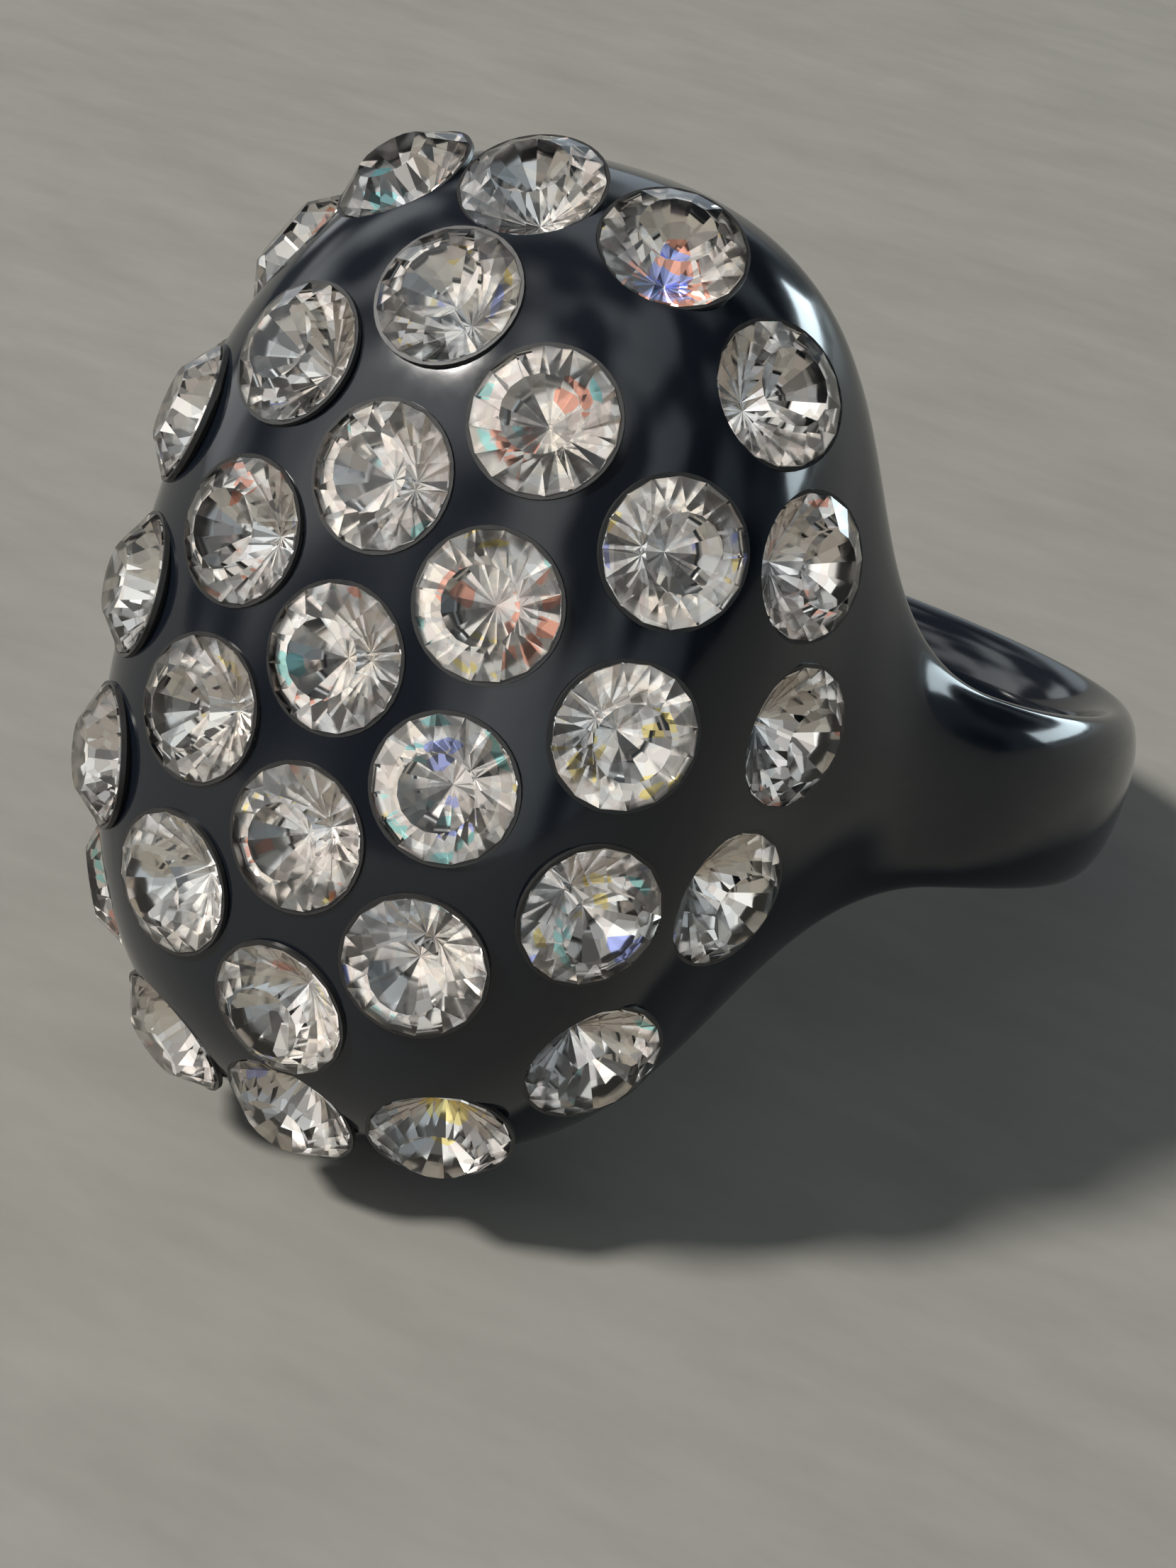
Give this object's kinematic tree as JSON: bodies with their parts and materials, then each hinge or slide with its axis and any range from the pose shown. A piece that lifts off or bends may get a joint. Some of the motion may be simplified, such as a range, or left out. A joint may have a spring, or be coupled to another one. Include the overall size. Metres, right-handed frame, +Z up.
{
  "type": "cocktail ring",
  "caption": "Dress ring for one finger: a moulded resin band with a wide domed head set all over with round foil-backed crystals.",
  "frame": {"origin": "centre of the finger hole", "axes": "+Z straight up from the table that the ring lies on its side on; -Y the way the domed head faces; the finger hole's axis leans back towards +Y by the angle at which the ring rests"},
  "size_m": [0.0204, 0.0271, 0.02],
  "materials": {
    "resin": "gloss",
    "crystal": "polished, foil backed",
    "cement": "satin"
  },
  "bodies": {
    "root": {"ring_body": "resin", "crystal_01": "crystal", "crystal_02": "crystal", "crystal_03": "crystal", "crystal_04": "crystal", "crystal_05": "crystal", "crystal_06": "crystal", "crystal_07": "crystal", "crystal_08": "crystal", "crystal_09": "crystal", "crystal_10": "crystal", "crystal_11": "crystal", "crystal_12": "crystal", "crystal_13": "crystal", "crystal_14": "crystal", "crystal_15": "crystal", "crystal_16": "crystal", "crystal_17": "crystal", "crystal_18": "crystal", "crystal_19": "crystal", "crystal_20": "crystal", "crystal_21": "crystal", "crystal_22": "crystal", "crystal_23": "crystal", "crystal_24": "crystal", "crystal_25": "crystal", "crystal_26": "crystal", "crystal_27": "crystal", "crystal_28": "crystal", "crystal_29": "crystal", "crystal_30": "crystal", "crystal_31": "crystal", "crystal_32": "crystal", "crystal_33": "crystal", "crystal_34": "crystal", "crystal_35": "crystal", "cement_inner": "cement", "cement_outer": "cement"}
  },
  "joints": []
}
